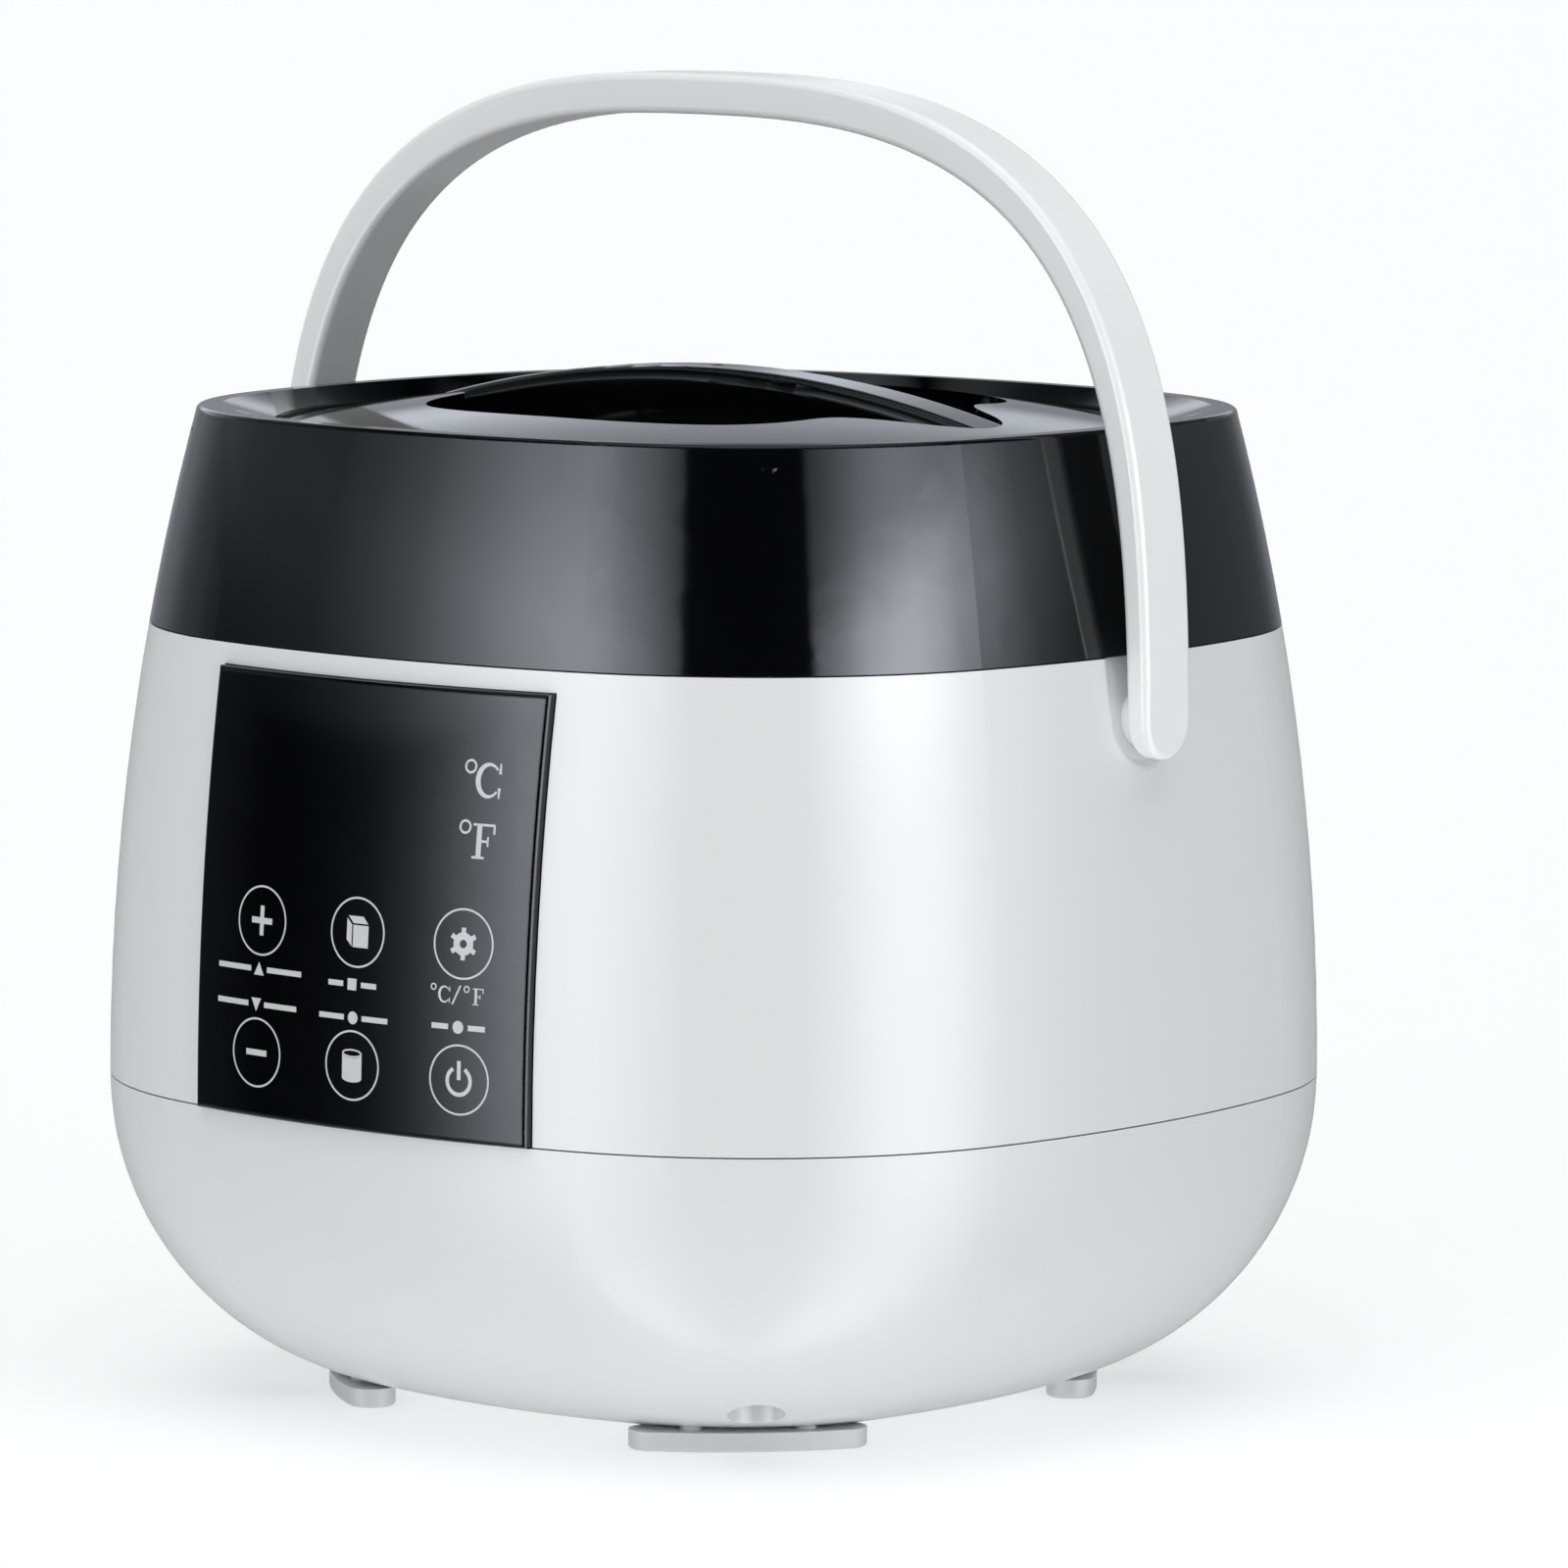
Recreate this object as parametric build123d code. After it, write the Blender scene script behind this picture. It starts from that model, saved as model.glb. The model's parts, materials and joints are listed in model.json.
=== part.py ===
from build123d import *
import math
import os

# A wax warmer pot. Millimetres, +Z up, origin on the table at the centre of the body.
# -Y is the front, which carries the control panel, and the handle pivots lie on +X and -X.

# ---- Driving dimensions -------------------------------------------------------------------

# Casing plan: a rounded square of eight tangent arcs, widest at the lower seam
HALF_WIDTH = 105.0
DEPTH_RATIO = 0.978
SIDE_RADIUS_RATIO = 2.05
CORNER_RADIUS_RATIO = 0.67
PROFILE_RADIUS = 520.0
WALL = 2.5
SEAM_GAP = 0.3

# Heights
BASE_Z = 2.6
SEAM_Z = 60.0
RING_SEAM_Z = 144.6
RIM_Z = 185.0
FLAT_HALF = 52.0
LOFT_STEPS = 5
BOWL_STEPS = 9

# Top ring and its lid opening
RIM_WIDTH = 4.0
RIM_ROUND = 1.0
OPENING_RADIUS = 82.8
OPENING_Z = 182.0
LEDGE_Z = 160.0
LEDGE_THICK = 2.5
LEDGE_RADIUS = 76.5

# Lid
LID_RADIUS = 82.4
LID_EDGE_Z = 181.4
LID_TOP_Z = 188.7
LID_SKIRT_Z = 163.6
LID_WALL = 2.2
LID_ROUND = 1.2
WELL_PLAN = ((65.0, 0.0), (61.8, 7.0), (55.6, 12.0), (48.5, 16.5), (44.2, 21.5), (42.8, 28.0),
             (40.0, 36.0), (34.5, 42.6), (26.5, 47.3), (14.0, 50.8), (0.0, 51.8))
WELL_FLOOR_Z = 169.2
WELL_TIP_Z = 183.2
WELL_FILLET = 2.5
WEB_HALF_LENGTH = 64.0
CORE_HALF_LENGTH = 40.0
GRIP_HALF_LENGTH = 67.0
GRIP_WIDTH = 13.0
GRIP_TOP_Z = 192.4
GRIP_END_Z = 183.4
GRIP_ROUND = 2.8
VENT_RADIUS = 1.15
LINER_RADIUS = 79.6
LINER_Z = 165.6
LINER_THICK = 1.2
LINER_SCREW_X = 60.0

# Handle: a flat band on a superellipse arch
HANDLE_HALF = 105.9
HANDLE_CENTRE_Z = 102.0
HANDLE_RISE = 144.8
HANDLE_POWER_X = 2.69
HANDLE_POWER_Z = 3.87
HANDLE_WIDTH = 13.6
HANDLE_LEG_THICK = 4.7
HANDLE_TOP_THICK = 7.6
HANDLE_EDGE = 1.3
PIVOT_Z = 133.0
PIVOT_RADIUS = 5.0
PIVOT_CLEARANCE = 0.06
PIVOT_END_X = 94.2
PIVOT_PAD_X = 94.6
PIVOT_PAD_RADIUS = 9.5
RECESS_DEPTH = 1.2
RECESS_MARGIN = 0.4
RECESS_FLARE_DEG = 60.0
RECESS_SOFT = 1.5

# Control panel and the board behind it
PANEL_HALF = 39.5
PANEL_TOP_Z = 140.7
PANEL_PROUD = 1.8
PANEL_THICK = 2.8
PANEL_EDGE = 1.0
WINDOW_HALF = 31.0
WINDOW_LOW_Z = 66.5
WINDOW_HIGH_Z = 134.5
DISPLAY_BOARD_Y = -90.0
DISPLAY_BOARD_HALF = 39.0
DISPLAY_BOARD_LOW_Z = 66.0
DISPLAY_BOARD_HIGH_Z = 136.0
DISPLAY_POST_X = 35.5
DISPLAY_POST_Z = (70.5, 131.5)
KEY_X = (-22.2, 1.8, 25.8)
KEY_Z = (72.0, 96.0)
BOARD_THICK = 1.6

# Pot, shield and heater
POT_RADIUS = 70.0
POT_BOTTOM_Z = 66.2
POT_WALL = 1.2
POT_CORNER = 12.0
POT_RIM_RADIUS = 80.0
SHIELD_RADIUS = 74.3
SHIELD_WALL = 0.8
SHIELD_BOTTOM_Z = 52.0
SHIELD_FLANGE_Z = 154.4
SHIELD_FLANGE_RADIUS = 83.5
SHIELD_SCREW_RADIUS = 80.0
PLATE_RADIUS = 62.0
PLATE_TOP_Z = 66.0
PLATE_THICK = 6.0
PLATE_BORE = 13.0
ELEMENT_RING_RADIUS = 42.0
ELEMENT_TUBE_RADIUS = 4.0
ELEMENT_Z = 58.0
ELEMENT_GAP_DEG = 30.0
TERMINAL_ANGLES = (-19, 19)
TERMINAL_LOW_Z = 44.0
POST_RADIUS_FROM_AXIS = 54.0
POST_ANGLES = (30, 150, 270)
SENSOR_CAP_RADIUS = 11.0
SENSOR_GUIDE_RADIUS = 9.5
SENSOR_CAP_LOW_Z = 57.0

# Base: columns, feet and power board
COLUMN_FROM_AXIS = 81.0
COLUMN_RADIUS = 7.5
POCKET_RADIUS = 5.3
COLUMN_TOP_Z = 47.0
COLUMN_WEB = 3.0
FOOT_OUTER = 72.3
FOOT_INNER = 63.3
FOOT_HALF_ANGLE = 14.8
FOOT_HEIGHT = 3.6
FOOT_PEG_RADIUS = 2.0
BOARD_HALF_X = 39.0
BOARD_HALF_Y = 29.0
BOARD_Z = 14.0
BOARD_HOLE_X = 34.0
BOARD_HOLE_Y = 24.0

# Rear appliance inlet
INLET_Z = 84.0
INLET_FACE_Y = 99.9
INLET_FLANGE = (50.0, 23.0, 2.4)
INLET_SOCKET = (24.0, 16.5, 17.0)
INLET_WALL = 1.6
INLET_SCREW_X = 20.0
PIN_SIZE = (2.0, 4.0)
PIN_PLACES = ((-7.0, -2.0), (7.0, -2.0), (0.0, 2.0))

CORNER_ANGLES = (45, 135, 225, 315)
FAR = 150.0


# ---- Shared geometry ----------------------------------------------------------------------

def unit(x, y):
    """Direction of (x, y) with length one."""
    length = math.hypot(x, y)
    return x / length, y / length


def outline_points(half_width):
    """Sixteen points of the rounded square: ends and middles of its eight tangent arcs."""
    half_depth = half_width * DEPTH_RATIO
    side_radius = half_width * SIDE_RADIUS_RATIO
    corner_radius = half_width * CORNER_RADIUS_RATIO
    side_x = half_width - side_radius
    front_y = half_depth - side_radius
    reach = math.sqrt((side_radius - corner_radius) ** 2 - math.hypot(side_x, front_y) ** 2 / 4)
    lean_x, lean_y = unit(-front_y, -side_x)
    centre_x = side_x / 2 + lean_x * reach
    centre_y = front_y / 2 + lean_y * reach
    to_side = unit(centre_x - side_x, centre_y)
    to_front = unit(centre_x, centre_y - front_y)
    middle = unit(to_side[0] + to_front[0], to_side[1] + to_front[1])
    corner = []
    for direction in (to_side, middle, to_front):
        x = centre_x + corner_radius * direction[0]
        y = centre_y + corner_radius * direction[1]
        corner.append((x, y))
    points = []
    axis_points = ((half_width, 0), (0, half_depth), (-half_width, 0), (0, -half_depth))
    for number, (sign_x, sign_y) in enumerate(((1, 1), (-1, 1), (-1, -1), (1, -1))):
        points.append(axis_points[number])
        turned = [(sign_x * x, sign_y * y) for x, y in corner]
        points.extend(turned if number % 2 == 0 else reversed(turned))
    return points


def arc_face(points, z):
    """Flat face at height z inside the eight arcs that sixteen points describe."""
    edges = []
    for start in range(1, 17, 2):
        trio = [points[(start + step) % 16] for step in range(3)]
        edges.append(ThreePointArc(*[(x, y, z) for x, y in trio]))
    return Face(Wire(edges))


def outline(half_width, z):
    """Rounded-square face of the casing."""
    return arc_face(outline_points(half_width), z)


def matched_circle(radius, z):
    """Round face split into eight arcs at the same angles as the rounded square."""
    points = [unit(x, y) for x, y in outline_points(HALF_WIDTH)]
    return arc_face([(radius * x, radius * y) for x, y in points], z)


def body_half(z):
    """Half-width of the casing's outer surface above the lower seam."""
    return HALF_WIDTH - PROFILE_RADIUS + math.sqrt(PROFILE_RADIUS ** 2 - (z - SEAM_Z) ** 2)


def casing(low, high, inset=0.0):
    """Solid inside the casing's surface between two heights, moved inwards by inset."""
    heights = [low + (high - low) * n / LOFT_STEPS for n in range(LOFT_STEPS + 1)]
    return loft([outline(body_half(z) - inset, z) for z in heights])


def bowl(inset=0.0):
    """Solid inside the bowl below the lower seam: a quarter ellipse down to a flat bottom."""
    faces = []
    for step in range(BOWL_STEPS + 1):
        turn = math.radians(90 * step / BOWL_STEPS)
        half = FLAT_HALF + (HALF_WIDTH - FLAT_HALF - inset) * math.cos(turn)
        z = SEAM_Z - (SEAM_Z - BASE_Z - inset) * math.sin(turn)
        faces.append(outline(half, z))
    return loft(faces)


def cylinder(radius, low, high):
    """Upright cylinder between two heights."""
    return Pos(0, 0, (low + high) / 2) * Cylinder(radius, high - low)


def tube(outer, inner, low, high):
    """Upright tube between two heights."""
    return cylinder(outer, low, high) - cylinder(inner, low - 1, high + 1)


def block(x_range, y_range, z_range):
    """Box between stated limits."""
    size = [high - low for low, high in (x_range, y_range, z_range)]
    middle = [(high + low) / 2 for low, high in (x_range, y_range, z_range)]
    return Pos(*middle) * Box(*size)


def across(face, half_width):
    """Prism of an XZ face, reaching half_width to each side of the plane Y = 0."""
    return extrude(Pos(0, half_width, 0) * face, 2 * half_width)


def around(angles, radius, z, shape):
    """Copies of a shape at a radius from the axis, each turned to its angle."""
    return [Rot(0, 0, angle) * Pos(radius, 0, z) * shape for angle in angles]


def screw(shank_radius, length, head_radius, head_height):
    """Pan-head screw: head below z = 0 with a cross recess, shank up to its length."""
    head = cylinder(head_radius, -head_height, 0)
    head = fillet(head.edges().group_by(Axis.Z)[0], head_height * 0.45)
    body = head + cylinder(shank_radius, 0, length)
    body = chamfer(body.edges().group_by(Axis.Z)[-1], shank_radius * 0.35)
    bar = Box(head_radius * 1.1, head_radius * 0.26, head_height)
    recess = bar + Rot(0, 0, 90) * bar
    return body - Pos(0, 0, -head_height) * recess


def lead(points, wire_radius, bend):
    """Round insulated wire along straight runs with tangent bends."""
    path = FilletPolyline(*points, radius=bend)
    section = Plane(origin=path @ 0, z_dir=path % 0) * Circle(wire_radius)
    return sweep(section, path=path)


def coil(radius, wire_radius, low, high, turns):
    """Helical spring standing between two heights."""
    height = high - low - 2 * wire_radius
    path = Helix(pitch=height / turns, height=height, radius=radius)
    section = Plane(origin=path @ 0, z_dir=path % 0) * Circle(wire_radius)
    return Pos(0, 0, low + wire_radius) * sweep(section, path=path)


# ---- Casing -------------------------------------------------------------------------------

def foot_pad(grow=0.0):
    """Arc-shaped pad with round ends, centred on the +X axis."""
    middle = (FOOT_OUTER + FOOT_INNER) / 2
    half = (FOOT_OUTER - FOOT_INNER) / 2 + grow
    sector = tube(middle + half, middle - half, 0, FOOT_HEIGHT + grow)
    for side in (1, -1):
        cut = Pos(0, side * FAR, 0) * Box(2 * FAR, 2 * FAR, 2 * FAR)
        sector -= Rot(0, 0, side * FOOT_HALF_ANGLE) * cut
    sector &= block((0, FAR), (-FAR, FAR), (-1, 10))
    ends = around((-FOOT_HALF_ANGLE, FOOT_HALF_ANGLE), middle, 0, cylinder(half, 0, FOOT_HEIGHT + grow))
    return sector + ends


def foot_pegs(angle, radius, low, high):
    """Two peg positions of the pad at an angle, as upright cylinders."""
    middle = (FOOT_OUTER + FOOT_INNER) / 2
    offset = FOOT_HALF_ANGLE * 0.6
    return around((angle - offset, angle + offset), middle, 0, cylinder(radius, low, high))


def make_base_shell():
    """Bowl with screw columns, board posts, foot seats and a tongue for the middle casing."""
    shell = bowl() - bowl(WALL)
    tongue_root = casing(SEAM_Z - 5, SEAM_Z, WALL - 0.5) - casing(SEAM_Z - 6, SEAM_Z + 1, WALL + 1.4)
    tongue = casing(SEAM_Z - 1, SEAM_Z + 3, WALL + 0.2) - casing(SEAM_Z - 2, SEAM_Z + 4, WALL + 1.4)
    shell += tongue_root + tongue
    columns = around(CORNER_ANGLES, COLUMN_FROM_AXIS, 0, cylinder(COLUMN_RADIUS, BASE_Z, COLUMN_TOP_Z))
    shell += [column & bowl() for column in columns]
    pocket = cylinder(POCKET_RADIUS, -5, COLUMN_TOP_Z - COLUMN_WEB)
    shank_hole = cylinder(2.1, 0, COLUMN_TOP_Z + 5)
    shell -= around(CORNER_ANGLES, COLUMN_FROM_AXIS, 0, pocket + shank_hole)
    floor_z = BASE_Z + WALL - 1
    for x in (-BOARD_HOLE_X, BOARD_HOLE_X):
        for y in (-BOARD_HOLE_Y, BOARD_HOLE_Y):
            shell += Pos(x, y, 0) * cylinder(3.2, floor_z, BOARD_Z)
            shell -= Pos(x, y, 0) * cylinder(1.55, BASE_Z + 2, BOARD_Z + 1)
    for angle in CORNER_ANGLES:
        shell -= Rot(0, 0, angle) * foot_pad(0.05)
        shell -= foot_pegs(angle, FOOT_PEG_RADIUS + 0.05, 0, 12)
    return shell


def make_foot_pads():
    """Four separate pads with two pegs each."""
    pad = foot_pad()
    pad = fillet(pad.edges().group_by(Axis.Z)[0], 0.8)
    pad += foot_pegs(0, FOOT_PEG_RADIUS, FOOT_HEIGHT - 0.5, FOOT_HEIGHT + 3)
    return [Rot(0, 0, angle) * pad for angle in CORNER_ANGLES]


def panel_slab(proud, depth, half, low, high):
    """Curved slab on the front of the casing, between two offsets from its surface."""
    slab = casing(low - 2, high + 2, -proud) - casing(low - 3, high + 3, depth)
    return slab & block((-half, half), (-FAR, 0), (low, high))


def handle_recess(side):
    """Cutter for the shallow recess round one leg: sloped walls, round below, open to the ring seam."""
    half = HANDLE_WIDTH / 2 + RECESS_MARGIN
    height = 2 * (RING_SEAM_Z - PIVOT_Z)
    face = Circle(half) + Pos(0, height / 2) * Rectangle(2 * half, height)
    prism = extrude(face, 4 * RECESS_DEPTH, taper=-RECESS_FLARE_DEG)
    lean = math.asin((PIVOT_Z + half - SEAM_Z) / PROFILE_RADIUS)
    outwards = (side * math.cos(lean), 0, math.sin(lean))
    start = (side * (body_half(PIVOT_Z) - RECESS_DEPTH), 0, PIVOT_Z)
    seat = Plane(origin=start, x_dir=(0, side, 0), z_dir=outwards)
    return seat * prism - casing(PIVOT_Z - 30, RING_SEAM_Z + 2, RECESS_DEPTH)


def recess_edges(shell):
    """Rims and floor edges of the handle recesses."""
    found = []
    for edge in shell.edges():
        x, y, z = tuple(edge.center())
        beside_leg = abs(x) > PIVOT_PAD_X and abs(y) < HANDLE_WIDTH
        if beside_leg and abs(z - PIVOT_Z) < RING_SEAM_Z - PIVOT_Z - SEAM_GAP:
            found.append(edge)
    return found


def make_body_shell():
    """Middle casing with handle recesses, pivot bearings, panel seat and inlet pad."""
    low = SEAM_Z + SEAM_GAP
    shell = casing(low, RING_SEAM_Z) - casing(low - 1, RING_SEAM_Z + 1, WALL)
    shell -= [handle_recess(side) for side in (1, -1)]
    shell = fillet(recess_edges(shell), RECESS_SOFT)
    inside = casing(low, RING_SEAM_Z, WALL / 2)
    for side in (1, -1):
        pad = Pos(side * (PIVOT_PAD_X + 4), 0, PIVOT_Z) * Rot(0, 90, 0) * Cylinder(PIVOT_PAD_RADIUS, 8)
        shell += pad & inside
        bore = Rot(0, 90, 0) * Cylinder(PIVOT_RADIUS + PIVOT_CLEARANCE, 30)
        shell -= Pos(side * 100, 0, PIVOT_Z) * bore
    lug = block((-8, 16), (-7, 7), (RING_SEAM_Z - 3.1, RING_SEAM_Z - 0.6))
    shell += [one & inside for one in around(CORNER_ANGLES, 96, 0, lug)]
    shell -= around(CORNER_ANGLES, 94, 0, cylinder(1.7, RING_SEAM_Z - 6, RING_SEAM_Z + 2))
    for x in (-DISPLAY_POST_X, DISPLAY_POST_X):
        for z in DISPLAY_POST_Z:
            post = block((x - 3, x + 3), (-FAR, DISPLAY_BOARD_Y), (z - 3, z + 3))
            shell += post & inside
            shell -= Pos(x, DISPLAY_BOARD_Y - 2.4, z) * Rot(90, 0, 0) * Cylinder(1.05, 5)
    seat = panel_slab(PANEL_PROUD + 1, PANEL_THICK - PANEL_PROUD + 0.1, PANEL_HALF + 0.2,
                      low - 1, PANEL_TOP_Z + 0.2)
    shell -= seat
    window = Pos(0, -FAR / 2 - 20, (WINDOW_LOW_Z + WINDOW_HIGH_Z) / 2) * Rot(90, 0, 0)
    window *= extrude(RectangleRounded(2 * WINDOW_HALF, WINDOW_HIGH_Z - WINDOW_LOW_Z, 2), FAR / 2, both=True)
    shell -= window
    width, height, thick = INLET_FLANGE
    inlet_pad = block((-width / 2 - 3, width / 2 + 3), (INLET_FACE_Y - 3, FAR),
                      (INLET_Z - height / 2 - 3, INLET_Z + height / 2 + 3))
    shell += inlet_pad & inside
    shell -= block((-width / 2 - 0.3, width / 2 + 0.3), (INLET_FACE_Y, FAR),
                   (INLET_Z - height / 2 - 0.3, INLET_Z + height / 2 + 0.3))
    opening = [size / 2 + INLET_WALL + 0.3 for size in INLET_SOCKET[:2]]
    shell -= block((-opening[0], opening[0]), (60, FAR), (INLET_Z - opening[1], INLET_Z + opening[1]))
    for x in (-INLET_SCREW_X, INLET_SCREW_X):
        shell -= Pos(x, INLET_FACE_Y, INLET_Z) * Rot(90, 0, 0) * Cylinder(1.55, 12)
    return shell


def make_top_ring():
    """Black upper ring: outer wall, dished rim, round opening wall and pot ledge."""
    outer = casing(RING_SEAM_Z + SEAM_GAP, RIM_Z)
    outer = fillet(outer.edges().group_by(Axis.Z)[-1], RIM_ROUND)
    ring = outer - casing(RING_SEAM_Z - 1, OPENING_Z - WALL, WALL)
    ring += cylinder(OPENING_RADIUS + 2, LEDGE_Z - LEDGE_THICK, OPENING_Z - 1)
    boss = cylinder(4.0, RING_SEAM_Z + 1, OPENING_Z - 1)
    ring += around(CORNER_ANGLES, 94, 0, boss)
    ring -= around(CORNER_ANGLES, 94, 0, cylinder(1.55, RING_SEAM_Z, RING_SEAM_Z + 14))
    shield_boss = cylinder(3.4, SHIELD_FLANGE_Z + SHIELD_WALL, LEDGE_Z - 1)
    ring += around(CORNER_ANGLES, SHIELD_SCREW_RADIUS, 0, shield_boss)
    ring -= cylinder(OPENING_RADIUS, LEDGE_Z, RIM_Z + 5)
    ring -= cylinder(LEDGE_RADIUS, LEDGE_Z - 20, RIM_Z + 5)
    ring -= around(CORNER_ANGLES, SHIELD_SCREW_RADIUS, 0, cylinder(1.55, SHIELD_FLANGE_Z - 1, LEDGE_Z - 0.8))
    rim_inner = outline(body_half(RIM_Z) - RIM_WIDTH, RIM_Z)
    dish = loft([matched_circle(OPENING_RADIUS, OPENING_Z), rim_inner], ruled=True)
    return ring - dish


def make_panel():
    """Curved touch panel, proud of the casing, with a rounded front edge."""
    depth = PANEL_THICK - PANEL_PROUD
    panel = panel_slab(PANEL_PROUD, depth, PANEL_HALF, SEAM_Z + 0.1, PANEL_TOP_Z)
    return fillet(panel.faces().sort_by(Axis.Y)[0].edges(), PANEL_EDGE)


# ---- Lid ----------------------------------------------------------------------------------

def grip_side(drop, half_length, low):
    """Side view of the grip bridge: an arc over a flat bottom, lowered by drop."""
    radius = (GRIP_HALF_LENGTH ** 2 + (GRIP_TOP_Z - GRIP_END_Z) ** 2) / (2 * (GRIP_TOP_Z - GRIP_END_Z))
    end_z = GRIP_TOP_Z - drop - radius + math.sqrt(radius ** 2 - half_length ** 2)
    arc = ThreePointArc((-half_length, end_z), (0, GRIP_TOP_Z - drop), (half_length, end_z))
    if low >= end_z:
        return Plane.XZ * make_face([arc, Line((half_length, end_z), (-half_length, end_z))])
    rest = Polyline((half_length, end_z), (half_length, low), (-half_length, low), (-half_length, end_z))
    return Plane.XZ * make_face([arc, rest])


def lid_form(inset, low):
    """Solid under the lid's domed surface, with a rounded edge, moved inwards by inset."""
    radius = LID_RADIUS - inset
    flat = radius - LID_ROUND
    edge_z = LID_EDGE_Z - inset
    rise = LID_TOP_Z - LID_EDGE_Z
    dome_radius = (flat ** 2 + rise ** 2) / (2 * rise)
    halfway_z = edge_z + rise - dome_radius + math.sqrt(dome_radius ** 2 - (flat / 2) ** 2)
    lean = LID_ROUND * math.sqrt(0.5)
    dome = ThreePointArc((0, edge_z + rise), (flat / 2, halfway_z), (flat, edge_z))
    side_z = edge_z - LID_ROUND
    corner = ThreePointArc((flat, edge_z), (flat + lean, side_z + lean), (radius, side_z))
    rest = Polyline((radius, side_z), (radius, low), (0, low), (0, edge_z + rise))
    return revolve(Plane.XZ * make_face([dome, corner, rest]), Axis.Z)


def well_zone(grow):
    """Large ball whose underside is the bowl-shaped floor of the finger well, moved outwards by grow."""
    reach = WELL_PLAN[0][0]
    rise = WELL_TIP_Z - WELL_FLOOR_Z
    radius = (reach ** 2 + rise ** 2) / (2 * rise)
    return Pos(0, 0, WELL_FLOOR_Z + radius) * Rot(90, 0, 0) * Sphere(radius + grow)


def well_points(grow):
    """Points round the plan of the finger well, moved outwards by grow."""
    rear = list(WELL_PLAN) + [(-x, y) for x, y in WELL_PLAN[-2::-1]]
    ring = rear + [(x, -y) for x, y in rear[-2:0:-1]]
    points = []
    for number, (x, y) in enumerate(ring):
        before, after = ring[number - 1], ring[(number + 1) % len(ring)]
        along_x, along_y = unit(after[0] - before[0], after[1] - before[1])
        points.append((x + grow * along_y, y - grow * along_x))
    return points


def well_form(grow):
    """Finger well as a solid: broad at front and rear, drawn in along the grip to two tips."""
    plan = make_face(Spline(*well_points(grow), periodic=True))
    return extrude(Pos(0, 0, LID_SKIRT_Z) * plan, GRIP_TOP_Z - LID_SKIRT_Z) & well_zone(grow)


def make_lid_cover():
    """Domed cover with a finger well, a grip bridge across it and a small vent."""
    outer = lid_form(0, LID_SKIRT_Z)
    cover = outer - lid_form(LID_WALL, LID_SKIRT_Z - 1)
    cover += well_form(LID_WALL) & outer
    well = well_form(0)
    cover -= fillet(well.edges().sort_by(SortBy.LENGTH)[-1], WELL_FILLET)
    grip = across(grip_side(0, GRIP_HALF_LENGTH, GRIP_END_Z), GRIP_WIDTH / 2)
    arcs = [edge for edge in grip.edges() if edge.geom_type == GeomType.CIRCLE]
    grip = fillet(arcs, GRIP_ROUND)
    web = across(grip_side(3.5, WEB_HALF_LENGTH, LID_SKIRT_Z), GRIP_WIDTH / 2)
    cover += grip + (web & well_zone(LID_WALL))
    cover -= across(grip_side(LID_WALL, CORE_HALF_LENGTH, LID_SKIRT_Z), GRIP_WIDTH / 2 - LID_WALL)
    cover -= cylinder(VENT_RADIUS, LID_SKIRT_Z, GRIP_TOP_Z + 2)
    for x in (-LINER_SCREW_X, LINER_SCREW_X):
        cover += Pos(x, 0, 0) * cylinder(3.5, LINER_Z + LINER_THICK, LID_EDGE_Z)
        cover -= Pos(x, 0, 0) * cylinder(1.55, LINER_Z, LINER_Z + 10)
    return cover


def make_lid_liner():
    """Inner plate that closes the lid from below."""
    liner = cylinder(LINER_RADIUS, LINER_Z, LINER_Z + LINER_THICK)
    liner -= cylinder(VENT_RADIUS + 1, LINER_Z - 1, LINER_Z + 5)
    for x in (-LINER_SCREW_X, LINER_SCREW_X):
        liner -= Pos(x, 0, 0) * cylinder(1.7, LINER_Z - 1, LINER_Z + 5)
    return liner


def make_lid_seal():
    """Silicone ring under the liner's edge, over the pot's rim."""
    low = LEDGE_Z + 3.5
    seal = tube(LINER_RADIUS - 0.6, LINER_RADIUS - 7, low, LINER_Z)
    return fillet(seal.edges().group_by(Axis.Z)[0], 0.8)


# ---- Handle -------------------------------------------------------------------------------

def arch_point(turn, inset):
    """Point of the arch at an angle from the +X side to the top, moved inwards by inset."""
    x = HANDLE_HALF * abs(math.cos(turn)) ** (2 / HANDLE_POWER_X)
    z = HANDLE_RISE * abs(math.sin(turn)) ** (2 / HANDLE_POWER_Z)
    slope_x = HANDLE_POWER_X / HANDLE_HALF * (x / HANDLE_HALF) ** (HANDLE_POWER_X - 1)
    slope_z = HANDLE_POWER_Z / HANDLE_RISE * (z / HANDLE_RISE) ** (HANDLE_POWER_Z - 1)
    normal_x, normal_z = unit(slope_x, slope_z)
    return x - inset * normal_x, z - inset * normal_z + HANDLE_CENTRE_Z


def arch_side(thick):
    """Points of one face of the band, from the +X leg over the top to the -X leg."""
    turns = [math.radians(angle) for angle in (1, 4, 10, 18, 28, 40, 52, 64, 76)]
    half = []
    for turn in turns:
        share = math.sin(turn)
        inset = thick * (HANDLE_LEG_THICK + (HANDLE_TOP_THICK - HANDLE_LEG_THICK) * share)
        half.append(arch_point(turn, inset))
    top = (0, HANDLE_CENTRE_Z + HANDLE_RISE - thick * HANDLE_TOP_THICK)
    return half + [top] + [(-x, z) for x, z in reversed(half)]


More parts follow.
